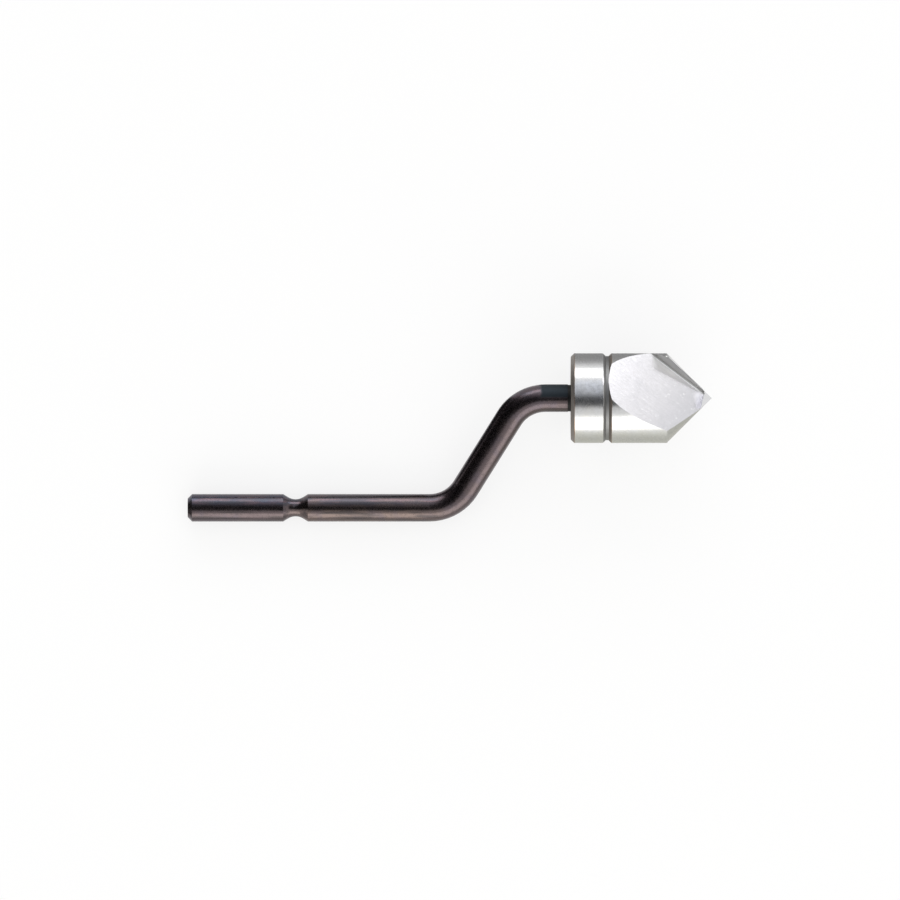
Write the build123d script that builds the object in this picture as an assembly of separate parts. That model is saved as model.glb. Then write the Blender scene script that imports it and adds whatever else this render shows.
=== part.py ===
from build123d import *
import os
from math import acos, asin, cos, degrees, radians, sin, tan

# Cranked countersink bit for deburring holes by hand.
# A round shank with two bends is pressed into the blind bore of a turned countersink head.
# The bit lies on its side, as it comes to rest: the head and the straight tail both touch
# the ground at Z = 0, and X runs from the tail's end to the point.
# Lengths are in millimetres and angles in degrees.

# Shank: a bent round rod
SHANK_DIAMETER = 3.2
TAIL_LENGTH = 28.0               # straight tail, from its end to the first bend
NECK_LENGTH = 2.9                # straight neck, from the second bend to the head
BEND_RADIUS = 4.9                # both bends, on the rod's centre line
BEND_ANGLE = 59.0                # turn of each bend
CRANK_OFFSET = 13.2              # from the tail's axis to the head's axis
TAIL_CHAMFER = 0.5               # on the tail's end

# Groove round the tail, where the holder's catch drops in
CATCH_DISTANCE = 12.5            # from the tail's end to the middle of the groove
CATCH_DEPTH = 0.6
CATCH_FLANK_ANGLE = 32.0         # between a flank and the shank's surface
CATCH_BOTTOM_RADIUS = 1.65

# Seat of the shank in the head
SEAT_DEPTH = 8.0                 # full diameter of the blind bore
SEAT_CHAMFER = 0.3               # on the shank's seated end
DRILL_POINT_ANGLE = 118.0        # included angle at the bottom of the bore
RELIEF_LENGTH = 0.35             # shallow relief turned on the neck beside the head
RELIEF_DEPTH = 0.06

# Head: turned about its own axis
HEAD_DIAMETER = 10.4
BACK_CHAMFER = 0.4
COLLAR_LENGTH = 3.7              # from the back face to the head's groove
HEAD_GROOVE_WIDTH = 1.0
HEAD_GROOVE_DEPTH = 0.33
HEAD_GROOVE_FLANK_ANGLE = 45.0   # between a flank and the head's surface
BODY_LENGTH = 6.4                # from the head's groove to the cone
CONE_ANGLE = 90.0                # included angle of the point

# Flute: one notch with a flat floor and a rake wall, ground across the body and the cone.
# Turns are about the head's axis, and the floor faces FLUTE_TURN away from the crank's plane.
FLUTE_TURN = 50.5
FLUTE_SLOPE = 24.7               # between the floor and the head's axis
FLUTE_CROSSING = 1.4             # the floor crosses the head's axis this far behind the point
CUTTING_EDGE_LEAD = 40.2         # turn from the way the floor faces to the cutting edge
FLUTE_CORNER_ANGLE = 80.5        # between the floor and the rake wall
RAKE_OVERCUT = 0.28              # the point lies this far in front of the rake wall's plane
FLUTE_STOP = 0.9                 # the flute ends this far behind the point, which stays whole
FLUTE_STOP_SKEW = -15.0          # between the flute's end and a plane square to the head's axis

# Worked out from the sizes above
shank_radius = SHANK_DIAMETER / 2
head_radius = HEAD_DIAMETER / 2
half_cone = radians(CONE_ANGLE / 2)
groove_end = COLLAR_LENGTH + HEAD_GROOVE_WIDTH
cone_start = groove_end + BODY_LENGTH
head_length = cone_start + head_radius / tan(half_cone)
bend_tangent = BEND_RADIUS * tan(radians(BEND_ANGLE / 2))
second_corner = -(NECK_LENGTH + bend_tangent)
first_corner = second_corner - CRANK_OFFSET / tan(radians(BEND_ANGLE))
tail_end = first_corner - bend_tangent - TAIL_LENGTH

# The pieces are made about the head's axis, which is X, with the head's back face at X = 0
# and the crank in the XY plane. rest_pose then lays them down together.
head_axis = Axis.X
tail_axis = Axis((0, -CRANK_OFFSET, 0), (1, 0, 0))
axis_direction = Vector(1, 0, 0)
point = Vector(head_length, 0, 0)


def radial(turn):
    """Unit vector square to the head's axis, turned from the crank's plane about that axis."""
    return Vector(0, cos(radians(turn)), sin(radians(turn)))


def shank_rod():
    """Plain rod with two equal and opposite bends, from the tail's end to the seat."""
    path = FilletPolyline(
        (tail_end, -CRANK_OFFSET),
        (first_corner, -CRANK_OFFSET),
        (second_corner, 0),
        (SEAT_DEPTH, 0),
        radius=BEND_RADIUS,
    )
    section = Plane(origin=path @ 0, z_dir=path % 0) * Circle(shank_radius)
    rod = sweep(section, path)
    ends = rod.faces().filter_by(GeomType.PLANE).sort_by(Axis.X)
    rod = chamfer(ends[0].edges(), TAIL_CHAMFER)
    ends = rod.faces().filter_by(GeomType.PLANE).sort_by(Axis.X)
    return chamfer(ends[-1].edges(), SEAT_CHAMFER)


def catch_groove():
    """Ring of metal turned off the tail: straight flanks that run into a round bottom."""
    flank = radians(CATCH_FLANK_ANGLE)
    bottom_half_width = CATCH_BOTTOM_RADIUS * sin(flank)
    bottom_rise = CATCH_BOTTOM_RADIUS * (1 - cos(flank))
    half_width = bottom_half_width + (CATCH_DEPTH - bottom_rise) / tan(flank)
    middle = tail_end + CATCH_DISTANCE
    surface = shank_radius - CRANK_OFFSET
    bottom = surface - CATCH_DEPTH
    mouth = Line((middle + half_width, surface), (middle - half_width, surface))
    left_flank = Line(mouth @ 1, (middle - bottom_half_width, bottom + bottom_rise))
    right_flank = Line((middle + bottom_half_width, bottom + bottom_rise), mouth @ 0)
    floor = ThreePointArc(left_flank @ 1, (middle, bottom), right_flank @ 0)
    return revolve(make_face([mouth, left_flank, floor, right_flank]), tail_axis)


def neck_relief():
    """Thin ring of metal turned off the neck beside the head."""
    outline = Polyline(
        (-RELIEF_LENGTH, shank_radius),
        (-RELIEF_LENGTH, shank_radius - RELIEF_DEPTH),
        (0, shank_radius - RELIEF_DEPTH),
        (0, shank_radius),
        close=True,
    )
    return revolve(make_face(outline), head_axis)


def head_blank():
    """Turned head: back chamfer, collar, groove, body and cone."""
    flank_run = HEAD_GROOVE_DEPTH / tan(radians(HEAD_GROOVE_FLANK_ANGLE))
    groove_radius = head_radius - HEAD_GROOVE_DEPTH
    outline = Polyline(
        (0, 0),
        (0, head_radius - BACK_CHAMFER),
        (BACK_CHAMFER, head_radius),
        (COLLAR_LENGTH, head_radius),
        (COLLAR_LENGTH + flank_run, groove_radius),
        (groove_end - flank_run, groove_radius),
        (groove_end, head_radius),
        (cone_start, head_radius),
        (head_length, 0),
        close=True,
    )
    return revolve(make_face(outline), head_axis)


def seat_bore():
    """Drilled blind bore, which the shank fills to the end of its full diameter."""
    outline = Polyline(
        (0, 0),
        (0, shank_radius),
        (SEAT_DEPTH, shank_radius),
        (SEAT_DEPTH + shank_radius / tan(radians(DRILL_POINT_ANGLE / 2)), 0),
        close=True,
    )
    return revolve(make_face(outline), head_axis)


def flute():
    """Notch bounded by the floor, the rake wall and a short end wall behind the point."""
    slope = radians(FLUTE_SLOPE)
    floor_normal = axis_direction * sin(slope) + radial(FLUTE_TURN) * cos(slope)
    floor = Plane(origin=point - axis_direction * FLUTE_CROSSING, z_dir=floor_normal)

    # The cutting edge follows a straight line of the cone from its base towards the point.
    # The rake wall is parallel to that line and makes the corner angle with the floor.
    edge_turn = FLUTE_TURN - CUTTING_EDGE_LEAD
    edge = radial(edge_turn) * sin(half_cone) - axis_direction * cos(half_cone)
    away = floor_normal - edge * floor_normal.dot(edge)
    lean = acos(-cos(radians(FLUTE_CORNER_ANGLE)) / away.length)
    away = away.normalized()
    wall_normal = away * cos(lean) + away.cross(edge) * sin(lean)
    wall = Plane(origin=point - wall_normal * RAKE_OVERCUT, z_dir=wall_normal)

    skew = radians(FLUTE_STOP_SKEW)
    sideways = axis_direction.cross(radial(FLUTE_TURN))
    end_wall = Plane(
        origin=point - axis_direction * FLUTE_STOP,
        z_dir=sideways * sin(skew) - axis_direction * cos(skew),
    )

    # Oversize stock round the point, trimmed to the open side of each wall
    notch = Pos(point) * Box(2 * head_length, 2 * HEAD_DIAMETER, 2 * HEAD_DIAMETER)
    for side in (floor, wall, end_wall):
        notch = split(notch, bisect_by=side, keep=Keep.TOP)
    return notch


def rest_pose():
    """Lays the bit on its side, on the head and the tail, with the origin under its middle."""
    tilt = asin((head_radius - shank_radius) / CRANK_OFFSET)
    tail_low_side = -CRANK_OFFSET * cos(tilt) - shank_radius
    width_middle = (head_radius + min(tail_low_side, -head_radius)) / 2
    length_middle = (tail_end + head_length) / 2
    return Location((-length_middle, -width_middle, head_radius), (degrees(tilt), 0, 0))


os.makedirs("parts", exist_ok=True)

pieces = {
    "cranked_shank": shank_rod() - catch_groove() - neck_relief(),
    "countersink_head": head_blank() - seat_bore() - flute(),
}
for name, piece in pieces.items():
    export_step(rest_pose() * piece, f"parts/{name}.step")
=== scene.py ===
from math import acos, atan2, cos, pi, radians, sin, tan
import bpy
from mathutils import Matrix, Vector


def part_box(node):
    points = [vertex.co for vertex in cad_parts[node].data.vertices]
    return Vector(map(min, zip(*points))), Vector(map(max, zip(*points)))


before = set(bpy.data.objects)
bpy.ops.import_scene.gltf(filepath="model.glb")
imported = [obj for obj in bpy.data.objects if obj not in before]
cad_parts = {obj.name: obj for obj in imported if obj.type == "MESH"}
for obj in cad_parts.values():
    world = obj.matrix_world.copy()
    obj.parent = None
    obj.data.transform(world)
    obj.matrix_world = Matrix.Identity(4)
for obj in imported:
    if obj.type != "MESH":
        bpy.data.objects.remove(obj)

# Cranked countersink bit, seen from straight above on a plain white floor.
# Both CAD solids stay as they are. This script gives them their materials and sets up the
# studio that shows in the metal: a white room, two soft boxes, and dark and grey cards; the low cards
# paint the bit's shadow on the floor.
# Lengths are in metres unless a comment says otherwise, in the frame of the imported model:
# the head and the straight tail both lie on the floor at Z = 0, and X runs from the tail's
# end to the point.

from types import SimpleNamespace

import bpy
from mathutils import Matrix, Vector

MM = 0.001
X_AXIS = Vector((1, 0, 0))
Y_AXIS = Vector((0, 1, 0))

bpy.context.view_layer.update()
head_low, head_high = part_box("countersink_head")
shank_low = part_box("cranked_shank")[0]

# ---- Places on the bit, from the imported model's own boxes -------------------------------

SHANK_RADIUS = 1.6 * MM
head_radius = (head_high.y - head_low.y) / 2

# Where the head's axis leaves its back face, where the tail's axis leaves its end, and the point
head_axis = Vector((head_low.x, head_low.y + head_radius, head_low.z + head_radius))
tail_axis = Vector((shank_low.x, shank_low.y + SHANK_RADIUS, shank_low.z + SHANK_RADIUS))
point = Vector((head_high.x, head_axis.y, head_axis.z))

# Turn of the crank's plane from level
crank_tilt = atan2(head_axis.z - tail_axis.z, head_axis.y - tail_axis.y)

# Along the shank, in millimetres from the tail's end
END_FADE = (10.0, 15.0)           # the rosier, bluer end of the tail stops here
CRANK_FADE = (26.0, 32.0)         # the rosier crank starts here
SLANT = (30.0, 40.0)              # slanting stretch of the crank
SLANT_FADE = 2.0

# Along the neck, in millimetres behind the head's back face
TINTED_NECK = 3.5
TINT_FADE = (0.40, 0.75)          # from the tint's start
TINT_WAVER = 1.2                  # how far the clouds shift that start
RELIEF_LENGTH = 0.35
RELIEF_FADE = (-0.06, 0.02)       # from the relief's start

# Along the head, in millimetres from its back face
BACK_CHAMFER = 0.4
GROOVE_START = 3.7
GROOVE_END = 4.7
GROOVE_MARGIN = 0.06              # the dull bottom stops this far inside the groove
GROOVE_FADE = 0.05
GROOVE_RIM = (GROOVE_END - 0.03, GROOVE_END + 0.02)
CHAMFER_RIM = (BACK_CHAMFER - 0.03, BACK_CHAMFER + 0.03)
RIM_FADE = 0.04
BRIGHT_TIP = (14.6, 15.2)         # the cone brightens here

# Flute: a floor and a rake wall, and a small end wall behind the point. Angles are in
# degrees, and turns are about the head's axis, from the crank's plane.
FLUTE_TURN = 50.5
FLUTE_SLOPE = 24.7
CUTTING_EDGE_LEAD = 40.2
FLUTE_CORNER_ANGLE = 80.5
FLUTE_STOP_SKEW = -15.0
HALF_CONE = 45.0
RAKE_OVERCUT = 0.28 * MM          # the point lies this far in front of the rake wall's plane
RAKE_CORNER = Vector((25.08, 9.43, 7.08)) * MM    # outer corner of the rake wall
FACE_MATCH = (0.990, 0.996)       # cosines over which a surface starts to pass for such a face

# The floor is crowned along the root, the line where it meets the rake wall
CROWN_MIDDLE = 7.0 * MM           # behind the point, along the root
CROWN_RADIUS = 170.0 * MM

# Stretches behind the point, along the root, over which the front colours turn to the back ones, as
# painted light and shade
GROUND_SHADE_FADE = (1.0 * MM, 6.0 * MM)
STRIP_HIGHLIGHT_FADE = (2.0 * MM, 7.5 * MM)
WALL_SHADE_FADE = (1.5 * MM, 8.0 * MM)

# Rounded root, on the floor beside the rake wall, with a painted highlight along it and painted shade
# right beside the wall
ROOT_WIDTH = 0.35 * MM
ROOT_SHADE = 0.20 * MM            # this part of it is as dark as the wall
ROOT_LEAN = 54.0                  # slope from the floor, in degrees

# Strip of the floor beside the root, dipped by the wheel's corner, with a painted highlight on it
STRIP_LEAN = 6.0                  # dip towards the root, in degrees
STRIP_SPREAD = 0.19               # growth of its width along the root
STRIP_FADE = (-0.55 * MM, 0.45 * MM)              # round its far side
STRIP_END = 6.7 * MM              # behind the point
DIP_FADE = 0.30 * MM
STRIP_HIGHLIGHT_END_FADE = 0.15 * MM

# Nick at the outer corner of the rake wall, sloped by the bump and with a painted glint, and a
# painted highlight on the floor round the point
NICK_LEAN = 40.0                  # slope from the wall, in degrees
NICK_FADE = (0.14 * MM, 0.22 * MM)                # from the corner
POINT_FADE = (1.5 * MM, 2.3 * MM)                 # from the point

# Heights of the bump on both metals
GRAIN_DEPTH = 0.0100 * MM
TURNING_DEPTH = 0.0012 * MM
GRINDING_DEPTH = 0.0018 * MM
MOTTLE_DEPTH = 0.0020 * MM
WAVE_DEPTH = 0.0120 * MM


def radial(turn):
    """Unit vector square to the head's axis, turned from the crank's plane about that axis."""
    angle = radians(turn) + crank_tilt
    return Vector((0, cos(angle), sin(angle)))


def rake_wall_normal(floor_normal):
    """The rake wall is parallel to a straight line of the cone, at the corner angle to the floor."""
    half_cone = radians(HALF_CONE)
    edge = radial(FLUTE_TURN - CUTTING_EDGE_LEAD) * sin(half_cone) - X_AXIS * cos(half_cone)
    away = floor_normal - edge * floor_normal.dot(edge)
    lean = acos(-cos(radians(FLUTE_CORNER_ANGLE)) / away.length)
    away.normalize()
    return away * cos(lean) + away.cross(edge) * sin(lean)


# Normals of the flute's three faces, and the way from its far end to the point along the root
slope = radians(FLUTE_SLOPE)
skew = radians(FLUTE_STOP_SKEW)
floor_facing = X_AXIS * sin(slope) + radial(FLUTE_TURN) * cos(slope)
wall_facing = rake_wall_normal(floor_facing)
stop_facing = X_AXIS.cross(radial(FLUTE_TURN)) * sin(skew) - X_AXIS * cos(skew)
root = floor_facing.cross(wall_facing).normalized()

# ---- Camera ------------------------------------------------------------------------------

VIEW_CENTRE = Vector((0.064, -1.448, 5.2)) * MM
VIEW_WIDTH = 104.1 * MM           # at the view's centre
LENS = 500                        # in millimetres, as is the sensor
SENSOR = 36

# ---- Studio ------------------------------------------------------------------------------

# Soft boxes, on the sides +Y and -Y. Ends along X are in shares of the reach, and the heights
# of the lower and upper edges in degrees over the floor.
STUDIO_REACH = 1.2                # from the bit to each soft box
COOL_ENDS = (-0.58, 1.0)
COOL_EDGES = (10, 34)
COOL_COLOUR = (0.98, 0.985, 1.0)
COOL_RADIANCE = 2.05
WARM_ENDS = (-0.6, 1.6)
WARM_EDGES = (2, 40)
WARM_COLOUR = (1.0, 0.99, 0.93)
WARM_RADIANCE = 1.75

WORLD_DIFFUSE = 0.82              # the room's light on surfaces that aren't metal
FLOOR_HALF = 3.0                  # half of each side
FLOOR_GLOW = 0.75                 # share of the floor's white that no shadow reaches

# Overhead flag: places along X, and its sides in degrees from upright, seen from under the head
OVERHEAD_HEIGHT = 0.25
OVERHEAD_ENDS = (-0.6, 0.30)
OVERHEAD_BEND = (-0.01, 0.02)     # from its part over the tail to its part over the head
OVERHEAD_LEFT_FADE = (-0.14, -0.05)
OVERHEAD_RIGHT_FADE = (0.05, 0.11)
TAIL_SIDE = -27
HEAD_SIDE = -21
FAR_SIDE = 46

# Left flag, standing on the floor past the tail's end
LEFT_FLAG_X = -0.8
LEFT_FLAG_ENDS = (-0.15, 1.1)
LEFT_FLAG_HEIGHT = 1.0
LEFT_FLAG_GLOW = 0.03

# Low cards, just over the floor and seen only in the metal, which paint the bit's shadow on the
# floor; and how far from the head's axis the grey ones stop fading
SHADOW_CARD_HEIGHT = 0.3 * MM
BLACK_SHADOW_GLOW = 0.05
SHADOW_BEHIND_REACH = 0.10
SHADOW_BEFORE_REACH = 0.05


class Graph:
    """Adds nodes to one shader tree and links them."""

    def __init__(self, tree):
        self.tree = tree
        self.tree.nodes.clear()

    def add(self, kind, inputs=None, **settings):
        node = self.tree.nodes.new(kind)
        for name, value in settings.items():
            setattr(node, name, value)
        for key, value in (inputs or {}).items():
            self.feed(node.inputs[key], value)
        return node

    def feed(self, socket, value):
        if isinstance(value, bpy.types.NodeSocket):
            self.tree.links.new(value, socket)
        else:
            socket.default_value = value

    def math(self, operation, a, b=0.0, c=0.0):
        return self.add("ShaderNodeMath", {0: a, 1: b, 2: c}, operation=operation).outputs[0]

    def product(self, first, *others):
        for other in others:
            first = self.math("MULTIPLY", first, other)
        return first

    def vector(self, operation, a, b=(0, 0, 0)):
        node = self.add("ShaderNodeVectorMath", {0: a, 1: b}, operation=operation)
        return node.outputs["Value" if operation in ("DOT_PRODUCT", "LENGTH") else "Vector"]

    def dot(self, vector, direction):
        return self.vector("DOT_PRODUCT", vector, tuple(direction))

    def part(self, vector, letter):
        """The X, Y or Z part of a vector."""
        return self.add("ShaderNodeSeparateXYZ", {0: vector}).outputs[letter]

    def position(self):
        """The surface's place in the frame."""
        return self.add("ShaderNodeTexCoord").outputs["Object"]

    def offset(self, place):
        """The way from a place in the frame to the surface."""
        return self.vector("SUBTRACT", self.position(), tuple(place))

    def facing(self, direction):
        """Cosine of the angle between the surface's normal and a direction."""
        return self.dot(self.add("ShaderNodeNewGeometry").outputs["Normal"], direction)

    def step(self, value, start, end, low=0.0, high=1.0):
        """Goes smoothly from low to high as value goes from start to end."""
        node = self.add(
            "ShaderNodeMapRange",
            {"Value": value, "From Min": start, "From Max": end, "To Min": low, "To Max": high},
            interpolation_type="SMOOTHSTEP",
        )
        return node.outputs["Result"]

    def band(self, value, start, end, soft):
        """1 between start and end, falling to 0 over soft on either side."""
        rise = self.step(value, start - soft, start)
        fall = self.step(value, end, end + soft, 1.0, 0.0)
        return self.product(rise, fall)

    def noise(self, vector, scale, detail, roughness):
        """Noise round 0.5, with about scale features in each unit of vector."""
        node = self.add(
            "ShaderNodeTexNoise",
            {"Vector": vector, "Scale": scale, "Detail": detail, "Roughness": roughness},
        )
        return node.outputs["Fac"]

    def bump(self, height, strength=1.0, normal=None):
        """The normal of a surface raised by height, on top of any normal that is given."""
        node = self.add("ShaderNodeBump", {"Height": height, "Strength": strength, "Distance": 1.0})
        if normal is not None:
            self.feed(node.inputs["Normal"], normal)
        return node.outputs["Normal"]

    def mix(self, factor, a, b, kind="RGBA"):
        """Colour a where factor is 0, and b where it is 1."""
        inputs = {"Factor": factor, "A": a, "B": b}
        node = self.add("ShaderNodeMix", inputs, data_type=kind, clamp_factor=True)
        return node.outputs["Result"]

    def blend(self, factor, a, b):
        """Number a where factor is 0, and b where it is 1."""
        return self.mix(factor, a, b, "FLOAT")

    def metal(self, colour, roughness, normal):
        """Ends the tree in bare metal."""
        shader = self.add(
            "ShaderNodeBsdfPrincipled",
            {"Base Color": colour, "Metallic": 1.0, "Roughness": roughness, "Normal": normal},
        )
        self.add("ShaderNodeOutputMaterial", {"Surface": shader.outputs["BSDF"]})


def rgb(red, green, blue):
    return (red, green, blue, 1.0)


def grey(level):
    return rgb(level, level, level)


def placed(graph, origin, scale=(1, 1, 1), rotation=(0, 0, 0)):
    """Object coordinates in millimetres from origin, turned and then stretched by scale."""
    turned = graph.add(
        "ShaderNodeMapping", {"Vector": graph.offset(origin), "Rotation": tuple(rotation)}
    )
    return graph.vector("MULTIPLY", turned.outputs["Vector"], tuple(factor / MM for factor in scale))


def new_material(name):
    material = bpy.data.materials.new(name)
    material.use_nodes = True
    return material, Graph(material.node_tree)


# ---- Blackened steel of the shank ---------------------------------------------------------

BROWN = rgb(0.143, 0.110, 0.101)
ROSY = rgb(0.114, 0.090, 0.093)
# VIOLET, PINK, BLUE and SLATE go mostly on the side that faces +Y, as painted tint and shade of its
# reflection
VIOLET = rgb(0.086, 0.075, 0.098)
PINK = rgb(0.138, 0.098, 0.108)
BLUE = rgb(0.066, 0.078, 0.104)
SLATE = rgb(0.066, 0.068, 0.082)
UMBER = rgb(0.062, 0.054, 0.055)
NECK_TINT = rgb(0.040, 0.049, 0.058)
RELIEF_BLACK = grey(0.040)
EVEN_STREAK = 0.47                # the streaks' level where they are evened out


def shank_patterns(graph, skin, along):
    """Spots and clouds of oxide, pores, and drawing streaks, which are evened out on the slant."""
    lengthwise = placed(graph, tail_axis, (0.18, 2.6, 2.6))
    streak = graph.noise(lengthwise, 1.0, 2.0, 0.6)
    return SimpleNamespace(
        speckle=graph.noise(skin, 3.2, 3.0, 0.6),
        cloud=graph.noise(skin, 0.55, 2.0, 0.5),
        patches=graph.noise(placed(graph, tail_axis, (0.5, 2.6, 2.6)), 1.0, 2.0, 0.5),
        pores=graph.noise(skin, 6.5, 2.0, 0.5),
        streak=graph.blend(graph.band(along, *SLANT, SLANT_FADE), streak, EVEN_STREAK),
    )


def oxide_colour(graph, along, facing_y, pattern):
    """Brown and rosy oxide with its own clouds and spots, and violet, pink and blue mostly on the
    side that faces +Y, where they are painted tint and shade of that side's reflection.
    """
    end = graph.step(along, *END_FADE, 1.0, 0.0)
    # Painted tint and shade of the reflection on the side that faces +Y, on top of the oxide's own
    # colours
    upper = graph.step(facing_y, -0.10, 0.55)
    colour = graph.mix(graph.step(along, *CRANK_FADE), BROWN, ROSY)
    colour = graph.mix(end, colour, ROSY)
    violet = graph.product(upper, graph.math("MULTIPLY_ADD", end, 0.5, 0.35))
    violet = graph.math("ADD", violet, graph.step(pattern.cloud, 0.45, 0.70, 0.0, 0.35))
    colour = graph.mix(violet, colour, VIOLET)
    pink = graph.product(graph.step(pattern.patches, 0.48, 0.64, 0.0, 0.75), upper)
    colour = graph.mix(pink, colour, PINK)
    blue = graph.product(graph.step(pattern.patches, 0.36, 0.50, 0.75, 0.0), upper)
    blue = graph.product(blue, graph.math("MULTIPLY_ADD", end, 0.7, 0.3))
    colour = graph.mix(blue, colour, BLUE)
    # Painted tint: dark specks and streaks are slate on the side that faces +Y and umber elsewhere
    dark = graph.mix(upper, UMBER, SLATE)
    colour = graph.mix(graph.step(pattern.speckle, 0.52, 0.74, 0.0, 0.4), colour, dark)
    return graph.mix(graph.step(pattern.streak, 0.44, 0.62, 0.0, 0.75), colour, dark)


def neck_masks(graph, along, facing_y, cloud):
    """The neck's tint, which is on the side that faces +Y, and the relief ring."""
    back_face = (head_low.x - tail_axis.x) / MM
    tint_start, tint_full = (back_face - TINTED_NECK + fade for fade in TINT_FADE)
    ragged = graph.math("MULTIPLY_ADD", cloud, TINT_WAVER, along)
    tint = graph.step(ragged, tint_start, tint_full)
    tint = graph.product(tint, graph.step(facing_y, -0.05, 0.15))
    relief_start, relief_full = (back_face - RELIEF_LENGTH + fade for fade in RELIEF_FADE)
    return tint, graph.step(along, relief_start, relief_full)


def blackened_steel():
    material, graph = new_material("blackened_steel_finish")
    skin = placed(graph, tail_axis)
    along = graph.part(skin, "X")
    facing_y = graph.facing(Y_AXIS)
    pattern = shank_patterns(graph, skin, along)
    tint, relief = neck_masks(graph, along, facing_y, pattern.cloud)

    colour = oxide_colour(graph, along, facing_y, pattern)
    colour = graph.mix(tint, colour, NECK_TINT)
    colour = graph.mix(relief, colour, RELIEF_BLACK)

    roughness = graph.blend(graph.step(pattern.speckle, 0.35, 0.70), 0.23, 0.31)
    roughness = graph.blend(graph.step(pattern.streak, 0.40, 0.75), roughness, 0.28)
    roughness = graph.blend(tint, roughness, 0.62)
    roughness = graph.blend(relief, roughness, 0.60)

    grain = graph.math("MULTIPLY_ADD", pattern.speckle, 0.6, graph.product(pattern.pores, 0.25))
    grain = graph.math("MULTIPLY_ADD", pattern.streak, 0.15, grain)
    graph.metal(colour, roughness, graph.bump(graph.product(grain, GRAIN_DEPTH)))
    return material


# ---- Turned and ground tool steel of the head -----------------------------------------------

# Front is the end of the flute by the point, and back is its far end; the flute's colours that change
# between them are painted light and shade
TURNED_BRIGHT = rgb(0.60, 0.60, 0.605)
TURNED_DULL = grey(0.54)
TURNED_CLOUD = rgb(0.58, 0.575, 0.56)
GROUND_BRIGHT = rgb(0.72, 0.71, 0.735)
GROUND_DULL = rgb(0.685, 0.675, 0.695)
GROUND_STROKE = rgb(0.65, 0.645, 0.665)
GROUND_CLOUD = rgb(0.625, 0.62, 0.645)
# Painted shade on the flute's floor near the point
GROUND_FRONT_PAINTED_SHADE = rgb(0.57, 0.57, 0.60)
GROUND_SPECK = rgb(0.84, 0.84, 0.85)
# Painted highlight on the strip beside the root, lighter towards the far end
STRIP_HIGHLIGHT_FRONT = rgb(0.86, 0.865, 0.89)
STRIP_HIGHLIGHT_BACK = rgb(0.99, 0.99, 1.0)
STRIP_HIGHLIGHT_STROKE = rgb(0.72, 0.72, 0.73)
# Rake wall, painted lighter near the point and darker at the far end
WALL_PAINTED_LIGHT_FRONT = rgb(0.80, 0.795, 0.79)
WALL_PAINTED_SHADE_BACK = rgb(0.73, 0.725, 0.72)
# Painted highlight along the root, and painted shade beside the wall, darker at the far end
ROOT_PAINTED_HIGHLIGHT = rgb(0.80, 0.80, 0.82)
SHADE_FRONT = grey(0.38)
SHADE_BACK = grey(0.30)
# Painted highlight on the floor round the point
POINT_PAINTED_HIGHLIGHT = rgb(0.85, 0.845, 0.89)
# Painted glint on the nick at the rake wall's outer corner, which the bump also slopes
NICK_PAINTED_GLINT = grey(0.80)
TIP_BRIGHT = rgb(0.72, 0.72, 0.73)
GROOVE_DULL = grey(0.24)
RIM_BROWN = rgb(0.40, 0.25, 0.15)
# Brown stain on the back face and chamfer, in a painted-shade copy for the side that faces -Y and a
# painted-light copy for +Y
STAIN_PAINTED_SHADE = rgb(0.185, 0.155, 0.130)
STAIN_PAINTED_LIGHT = rgb(0.24, 0.21, 0.185)


def head_patterns(graph):
    """Clouds, mottle and specks, turning rings, and grinding strokes along the flute's root."""
    skin = placed(graph, head_axis)
    rings = placed(graph, head_axis, (7.0, 0.10, 0.10))
    turn = Matrix((root, floor_facing.cross(root), floor_facing)).to_euler()
    strokes = placed(graph, head_axis, (0.25, 5.0, 1.0), turn)
    return SimpleNamespace(
        cloud=graph.noise(skin, 0.45, 2.0, 0.5),
        mottle=graph.noise(skin, 2.4, 3.0, 0.6),
        specks=graph.noise(skin, 3.6, 2.0, 0.5),
        ring=graph.noise(rings, 1.0, 3.0, 0.65),
        stroke=graph.noise(strokes, 1.0, 3.0, 0.6),
    )


def flute_places(graph):
    """Distances from the point, in all, along X, back along the root and square to the floor,
    and from the rake wall."""
    from_point = graph.offset(point)
    return SimpleNamespace(
        from_point=graph.vector("LENGTH", from_point),
        ahead=graph.part(from_point, "X"),
        behind=graph.dot(from_point, -root),
        above=graph.dot(from_point, floor_facing),
        from_wall=graph.math("ADD", graph.dot(from_point, wall_facing), RAKE_OVERCUT),
    )


def flute_masks(graph, place):
    """The flute's faces, and the marks on them, with the painted highlights on the strip and round
    the point, and the painted glint on the nick.
    """
    floor, wall, stop = (
        graph.step(graph.facing(normal), *FACE_MATCH)
        for normal in (floor_facing, wall_facing, stop_facing)
    )
    side = graph.math("SUBTRACT", place.from_wall, graph.product(place.behind, STRIP_SPREAD))
    side = graph.step(side, *STRIP_FADE, 1.0, 0.0)
    strip = graph.product(side, graph.step(place.ahead, -STRIP_END - DIP_FADE, -STRIP_END), floor)
    strip_highlight_end = graph.step(place.ahead, -STRIP_END - STRIP_HIGHLIGHT_END_FADE, -STRIP_END)
    from_corner = graph.vector("LENGTH", graph.offset(RAKE_CORNER))
    return SimpleNamespace(
        floor=floor,
        wall=wall,
        ground=graph.math("MAXIMUM", graph.math("MAXIMUM", floor, wall), stop),
        strip=strip,
        strip_highlight=graph.product(strip, strip_highlight_end),
        root=graph.product(graph.math("LESS_THAN", place.from_wall, ROOT_WIDTH), floor),
        nick=graph.product(graph.step(from_corner, *NICK_FADE, 1.0, 0.0), wall),
        point_highlight=graph.product(graph.step(place.from_point, *POINT_FADE, 1.0, 0.0), floor),
    )


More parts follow.
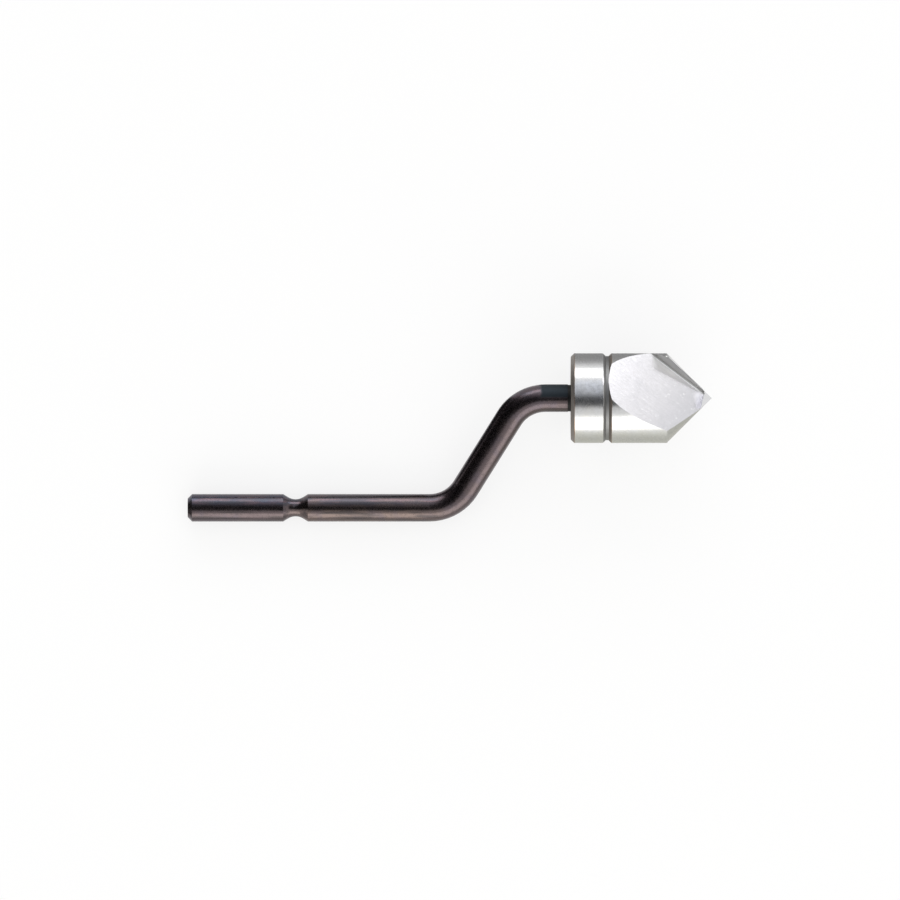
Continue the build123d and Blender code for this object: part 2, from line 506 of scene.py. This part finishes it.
def turned_masks(graph, turned, cloud):
    """The back face with its chamfer, the groove, the brown rims and the tip of the cone."""
    along = graph.part(placed(graph, head_axis), "X")
    rims = graph.math(
        "MAXIMUM",
        graph.band(along, *GROOVE_RIM, RIM_FADE),
        graph.band(along, *CHAMFER_RIM, RIM_FADE),
    )
    bottom = (GROOVE_START + GROOVE_MARGIN, GROOVE_END - GROOVE_MARGIN)
    return SimpleNamespace(
        back=graph.product(graph.step(graph.facing(X_AXIS), -0.75, -0.60, 1.0, 0.0), turned),
        groove=graph.product(graph.band(along, *bottom, GROOVE_FADE), turned),
        rims=graph.product(rims, graph.step(cloud, 0.40, 0.60, 0.2, 0.8), turned),
        tip=graph.product(graph.step(along, *BRIGHT_TIP, 0.0, 0.9), turned),
    )


def turned_colour(graph, pattern):
    colour = graph.mix(graph.step(pattern.mottle, 0.35, 0.70), TURNED_BRIGHT, TURNED_DULL)
    return graph.mix(graph.step(pattern.cloud, 0.40, 0.70), colour, TURNED_CLOUD)


def ground_colour(graph, pattern, place):
    colour = graph.mix(graph.step(pattern.mottle, 0.35, 0.70), GROUND_BRIGHT, GROUND_DULL)
    colour = graph.mix(graph.step(pattern.stroke, 0.35, 0.70, 0.0, 0.7), colour, GROUND_STROKE)
    colour = graph.mix(graph.step(pattern.cloud, 0.50, 0.75, 0.0, 0.6), colour, GROUND_CLOUD)
    # Painted shade: the floor darkens towards the point
    colour = graph.mix(graph.step(place.behind, *GROUND_SHADE_FADE, 0.6, 0.0), colour, GROUND_FRONT_PAINTED_SHADE)
    return graph.mix(graph.step(pattern.specks, 0.64, 0.72, 0.0, 0.8), colour, GROUND_SPECK)


# Painted highlight on the strip beside the root, with grinding strokes in it
def strip_highlight_colour(graph, pattern, place):
    back = graph.step(place.behind, *STRIP_HIGHLIGHT_FADE)
    colour = graph.mix(back, STRIP_HIGHLIGHT_FRONT, STRIP_HIGHLIGHT_BACK)
    return graph.mix(graph.step(pattern.stroke, 0.35, 0.70, 0.0, 0.3), colour, STRIP_HIGHLIGHT_STROKE)


def wall_and_root_colours(graph, place):
    """The rake wall's colour, painted lighter near the point and darker at the far end, and the
    root's: a painted highlight, with painted shade right beside the wall.
    """
    back = graph.step(place.behind, *WALL_SHADE_FADE)
    shaded = graph.mix(back, SHADE_FRONT, SHADE_BACK)
    beside_wall = graph.math("LESS_THAN", place.from_wall, ROOT_SHADE)
    return graph.mix(back, WALL_PAINTED_LIGHT_FRONT, WALL_PAINTED_SHADE_BACK), graph.mix(beside_wall, ROOT_PAINTED_HIGHLIGHT, shaded)


def head_normal(graph, pattern, place, flute, turned):
    """The crowned floor, the fine textures, and the slopes of the strip, the nick and the root."""
    from_middle = graph.math("SUBTRACT", place.behind, CROWN_MIDDLE)
    height = graph.product(from_middle, from_middle, -0.5 / CROWN_RADIUS, flute.floor)
    for texture, depth in (
        (graph.product(pattern.ring, turned), TURNING_DEPTH),
        (graph.product(pattern.stroke, flute.ground), GRINDING_DEPTH),
        (pattern.mottle, MOTTLE_DEPTH),
        (pattern.cloud, WAVE_DEPTH),
    ):
        height = graph.math("MULTIPLY_ADD", texture, depth, height)
    normal = graph.bump(height)

    # Slopes on top of that, with each mask as its bump's strength, so that its edge adds no slope
    for distance, lean, mask in (
        (place.from_wall, STRIP_LEAN, flute.strip),
        (place.above, -NICK_LEAN, flute.nick),
        (place.from_wall, -ROOT_LEAN, flute.root),
    ):
        normal = graph.bump(graph.product(distance, tan(radians(lean))), mask, normal)
    return normal


def tool_steel():
    material, graph = new_material("bright_tool_steel_finish")
    pattern = head_patterns(graph)
    place = flute_places(graph)
    flute = flute_masks(graph, place)
    turned = graph.math("SUBTRACT", 1.0, flute.ground)
    zone = turned_masks(graph, turned, pattern.cloud)
    wall, rounded = wall_and_root_colours(graph, place)
    # Painted shade and light on the back face's stain: darker on the side that faces -Y, lighter on
    # the side that faces +Y
    stain_and_painted_shade = graph.mix(graph.step(graph.facing(Y_AXIS), -0.6, 0.1), STAIN_PAINTED_SHADE, STAIN_PAINTED_LIGHT)

    colour = turned_colour(graph, pattern)
    for mask, layer in (
        (flute.ground, ground_colour(graph, pattern, place)),
        (flute.strip_highlight, strip_highlight_colour(graph, pattern, place)),
        (flute.point_highlight, POINT_PAINTED_HIGHLIGHT),
        (flute.wall, wall),
        (flute.root, rounded),
        (flute.nick, NICK_PAINTED_GLINT),
        (zone.tip, TIP_BRIGHT),
        (zone.groove, GROOVE_DULL),
        (zone.rims, RIM_BROWN),
        (zone.back, stain_and_painted_shade),
    ):
        colour = graph.mix(mask, colour, layer)

    roughness = graph.blend(graph.step(pattern.mottle, 0.30, 0.75), 0.22, 0.28)
    for mask, layer in (
        (zone.groove, 0.50),
        (zone.back, 0.65),
        (flute.ground, 0.24),
        (flute.strip, 0.42),
        (flute.point_highlight, 0.40),
        (flute.wall, 0.46),
        (flute.nick, 0.24),
    ):
        roughness = graph.blend(mask, roughness, layer)

    graph.metal(colour, roughness, head_normal(graph, pattern, place, flute, turned))
    return material


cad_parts["cranked_shank"].material_slots[0].material = blackened_steel()
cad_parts["countersink_head"].material_slots[0].material = tool_steel()

# ---- Floor, flags and lamps ------------------------------------------------------------------


def stage_sheet(name, corners):
    """A flat stage piece through its corners."""
    mesh = bpy.data.meshes.new(name)
    mesh.from_pydata([tuple(corner) for corner in corners], [], [tuple(range(len(corners)))])
    obj = bpy.data.objects.new(name, mesh)
    bpy.context.scene.collection.objects.link(obj)
    return obj


def seen_rays(graph):
    """1 for what the camera sees, directly or in metal, and 0 for light that falls on things."""
    path = graph.add("ShaderNodeLightPath").outputs
    seen = graph.math("MAXIMUM", path["Is Camera Ray"], path["Is Glossy Ray"])
    return graph.math("MAXIMUM", seen, path["Is Transmission Ray"])


def floor_sheet():
    half = FLOOR_HALF
    corners = [(-half, -half, 0), (half, -half, 0), (half, half, 0), (-half, half, 0)]
    floor = stage_sheet("floor", corners)
    material, graph = new_material("floor_paper")
    shader = graph.add(
        "ShaderNodeBsdfPrincipled",
        {"Base Color": grey(0.92), "Roughness": 0.9, "Specular IOR Level": 0.0},
    )
    glow = graph.add("ShaderNodeEmission", {"Color": grey(1), "Strength": 1.0})
    share = graph.product(seen_rays(graph), FLOOR_GLOW)
    both = graph.add("ShaderNodeMixShader", {0: share, 1: shader.outputs[0], 2: glow.outputs[0]})
    graph.add("ShaderNodeOutputMaterial", {"Surface": both.outputs[0]})
    floor.data.materials.append(material)


def flag(name, corners, glow_of):
    """A card that only shows in the metal. glow_of(graph) gives its colour and brightness."""
    card = stage_sheet(name, corners)
    card.visible_camera = False
    card.visible_diffuse = False
    card.visible_shadow = False
    material, graph = new_material(name + "_card")
    colour, strength = glow_of(graph)
    glow = graph.add("ShaderNodeEmission", {"Color": colour, "Strength": strength})
    graph.add("ShaderNodeOutputMaterial", {"Surface": glow.outputs[0]})
    card.data.materials.append(material)


def overhead(degrees):
    """Y at which a line that leans this much from upright, from under the head, meets the flag."""
    return head_axis.y + OVERHEAD_HEIGHT * tan(radians(degrees))


def overhead_glow(graph):
    """Dark over the bit and towards both ends, and lighter towards the +Y soft box."""
    along = graph.part(graph.position(), "X")
    across = graph.part(graph.position(), "Y")
    over_tail = graph.step(across, overhead(10), overhead(44), 0.05, 1.0)
    near = graph.step(across, overhead(-2), overhead(16), 0.08, 1.02)
    far = graph.step(across, overhead(10), overhead(FAR_SIDE), 0.0, 0.55)
    strength = graph.blend(graph.step(along, *OVERHEAD_BEND), over_tail, graph.math("ADD", near, far))
    left_end = graph.step(along, *OVERHEAD_LEFT_FADE, 0.08, 1.0)
    right_end = graph.step(along, *OVERHEAD_RIGHT_FADE, 1.0, 0.17)
    right = graph.step(along, *OVERHEAD_RIGHT_FADE)
    colour = graph.mix(right, rgb(0.88, 0.92, 1.0), rgb(1.0, 0.97, 0.92))
    return colour, graph.product(strength, graph.product(left_end, right_end))


def left_glow(graph):
    return rgb(1.0, 0.92, 0.85), LEFT_FLAG_GLOW


# Painted shade on the floor round the crank and past the tail's end, nearly black
def black_shadow_glow(graph):
    return grey(1), BLACK_SHADOW_GLOW


def grey_shadow_glow(graph):
    """Painted shadow of the head on the floor: grey beside the head, and lighter away from it."""
    across = graph.part(graph.position(), "Y")
    away = graph.math("ABSOLUTE", graph.math("SUBTRACT", across, head_axis.y))
    behind = graph.step(away, 0.0, SHADOW_BEHIND_REACH, 0.35, 1.0)
    before = graph.step(away, 0.0, SHADOW_BEFORE_REACH, 0.64, 1.0)
    side = graph.step(across, head_axis.y - MM, head_axis.y + MM)
    colour = graph.mix(side, rgb(1.0, 1.0, 0.91), grey(1))
    return colour, graph.blend(side, before, behind)


def softbox(name, side, ends, edges, colour, radiance):
    """A soft box on the side +Y or -Y, facing the bit."""
    start, end = (share * STUDIO_REACH for share in ends)
    bottom, top = (STUDIO_REACH * tan(radians(edge)) for edge in edges)
    light = bpy.data.lights.new(name, "AREA")
    light.shape = "RECTANGLE"
    light.size = end - start
    light.size_y = top - bottom
    light.color = colour
    light.energy = radiance * pi * light.size * light.size_y
    obj = bpy.data.objects.new(name, light)
    obj.location = ((start + end) / 2, side * STUDIO_REACH, (bottom + top) / 2)
    obj.rotation_euler = (-side * pi / 2, 0, 0)
    obj.visible_camera = False
    bpy.context.scene.collection.objects.link(obj)


floor_sheet()
flag(
    "overhead_flag",
    [
        (OVERHEAD_ENDS[0], overhead(TAIL_SIDE), OVERHEAD_HEIGHT),
        (OVERHEAD_BEND[0], overhead(TAIL_SIDE), OVERHEAD_HEIGHT),
        (OVERHEAD_BEND[1], overhead(HEAD_SIDE), OVERHEAD_HEIGHT),
        (OVERHEAD_ENDS[1], overhead(HEAD_SIDE), OVERHEAD_HEIGHT),
        (OVERHEAD_ENDS[1], overhead(FAR_SIDE), OVERHEAD_HEIGHT),
        (OVERHEAD_ENDS[0], overhead(FAR_SIDE), OVERHEAD_HEIGHT),
    ],
    overhead_glow,
)
flag(
    "left_flag",
    [
        (LEFT_FLAG_X, LEFT_FLAG_ENDS[0], 0),
        (LEFT_FLAG_X, LEFT_FLAG_ENDS[1], 0),
        (LEFT_FLAG_X, LEFT_FLAG_ENDS[1], LEFT_FLAG_HEIGHT),
        (LEFT_FLAG_X, LEFT_FLAG_ENDS[0], LEFT_FLAG_HEIGHT),
    ],
    left_glow,
)

# What glows on each low card of painted shadow, and its corners in millimetres
floor_shadow_cards = {
    "crank_shadow_card": (black_shadow_glow, [(-3.2, -4.5), (4.7, 7.3), (-92, 122), (-200, 80)]),
    "tail_shadow_card": (black_shadow_glow, [(-36, -20), (-36, 4), (-200, 60), (-200, -60)]),
    "behind_head_shadow_card": (grey_shadow_glow, [(12, 11), (28, 11), (40, 100), (0, 100)]),
    "before_head_shadow_card": (
        grey_shadow_glow,
        [(12, -2), (26, -2), (30.5, 2.5), (80, -45), (60, -60), (0, -60)],
    ),
}
for name, (glow_of, corners) in floor_shadow_cards.items():
    flag(name, [(x * MM, y * MM, SHADOW_CARD_HEIGHT) for x, y in corners], glow_of)

softbox("soft_box_cool", 1, COOL_ENDS, COOL_EDGES, COOL_COLOUR, COOL_RADIANCE)
softbox("soft_box_warm", -1, WARM_ENDS, WARM_EDGES, WARM_COLOUR, WARM_RADIANCE)

# ---- World: white behind everything and in the metal, and a plain level on the rest ---------

world = bpy.data.worlds.new("white_room")
bpy.context.scene.world = world
world.use_nodes = True
graph = Graph(world.node_tree)
strength = graph.math("MULTIPLY_ADD", seen_rays(graph), 1.0 - WORLD_DIFFUSE, WORLD_DIFFUSE)
white = graph.add("ShaderNodeBackground", {"Color": grey(1), "Strength": strength})
graph.add("ShaderNodeOutputWorld", {"Surface": white.outputs[0]})

# ---- Camera straight above -------------------------------------------------------------------

camera = bpy.data.cameras.new("camera")
camera.type = "PERSP"
camera.lens = LENS
camera.sensor_width = SENSOR
camera_object = bpy.data.objects.new("camera", camera)
camera_object.location = VIEW_CENTRE + Vector((0, 0, VIEW_WIDTH * LENS / SENSOR))
bpy.context.scene.collection.objects.link(camera_object)
bpy.context.scene.camera = camera_object

bpy.context.scene.view_settings.view_transform = "Standard"
